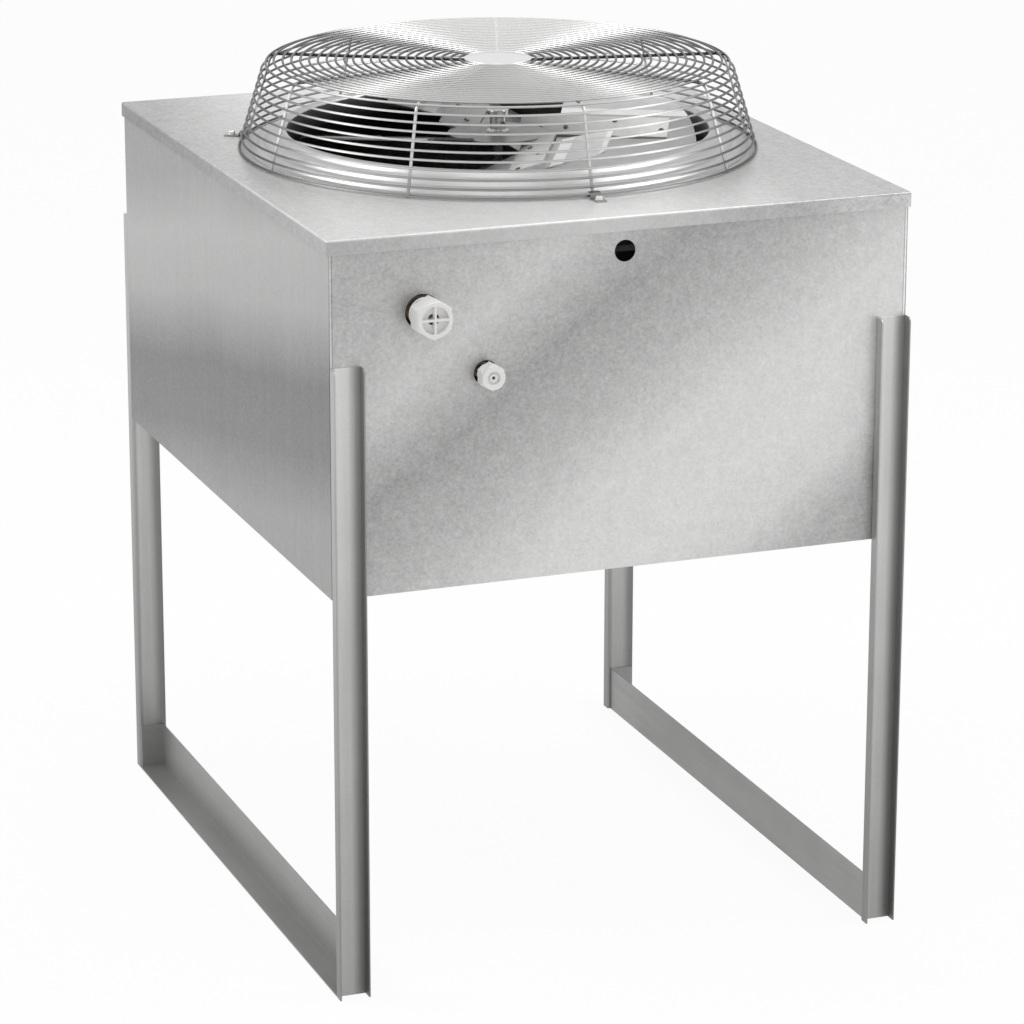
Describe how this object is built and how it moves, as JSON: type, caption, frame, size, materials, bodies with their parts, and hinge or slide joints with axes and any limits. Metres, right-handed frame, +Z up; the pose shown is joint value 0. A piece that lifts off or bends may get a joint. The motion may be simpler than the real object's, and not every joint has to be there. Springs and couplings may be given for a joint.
{
  "type": "remote condenser",
  "caption": "Air-cooled remote condenser: a galvanised sheet cabinet on open channel legs, with a top fan under a round wire guard and two capped line couplings.",
  "frame": {"origin": "on the floor, under the middle of the overall box, couplings included", "axes": "+Z up, -Y out of the front panel with the couplings, +X to the right seen from the front"},
  "size_m": [0.731, 0.901, 1.032],
  "materials": {
    "galvanised_sheet": "hot-dip galvanised sheet with a fine spangle, low gloss",
    "galvanised_channel": "galvanised steel, low gloss",
    "spun_collar": "spun, semi-bright",
    "guard_wire": "bright zinc-plated wire",
    "blade_aluminium": "mill finish",
    "fan_steel": "zinc-plated",
    "motor_paint": "satin paint",
    "bracket_steel": "galvanised",
    "coil_aluminium": "thin finned sheet, dull",
    "white_plastic": "moulded, slightly glossy",
    "coupling_brass": "machined",
    "copper_tube": "drawn tube"
  },
  "bodies": {
    "cabinet": {"back_panel": "galvanised_sheet", "base_rail_left": "galvanised_channel", "base_rail_right": "galvanised_channel", "coil_fins": "coil_aluminium", "coil_plate_left": "coil_aluminium", "coil_plate_right": "coil_aluminium", "discharge_cap": "white_plastic", "discharge_coupling": "coupling_brass", "discharge_pipe": "copper_tube", "fan_collar": "spun_collar", "fan_motor": "motor_paint", "front_panel": "galvanised_sheet", "guard_clips": "guard_wire", "guard_plate": "guard_wire", "guard_side": "guard_wire", "guard_top": "guard_wire", "left_panel": "galvanised_sheet", "leg_back_left": "galvanised_channel", "leg_back_right": "galvanised_channel", "leg_front_left": "galvanised_channel", "leg_front_right": "galvanised_channel", "liquid_cap": "white_plastic", "liquid_coupling": "coupling_brass", "liquid_pipe": "copper_tube", "motor_plate": "bracket_steel", "motor_rail_back": "bracket_steel", "motor_rail_front": "bracket_steel", "return_bends_left": "copper_tube", "return_bends_right": "copper_tube", "right_panel": "galvanised_sheet", "top_cover": "galvanised_sheet"},
    "fan": {"fan_blade_1": "blade_aluminium", "fan_blade_2": "blade_aluminium", "fan_blade_3": "blade_aluminium", "fan_blade_4": "blade_aluminium", "fan_hub": "fan_steel", "fan_spider": "fan_steel", "motor_shaft": "fan_steel"}
  },
  "joints": [
    {"name": "fan_spin", "type": "hinge", "parent": "cabinet", "child": "fan", "pos_m": [0, 0.0145, 0.93], "axis": [0, 0, 1], "continuous": true}
  ]
}
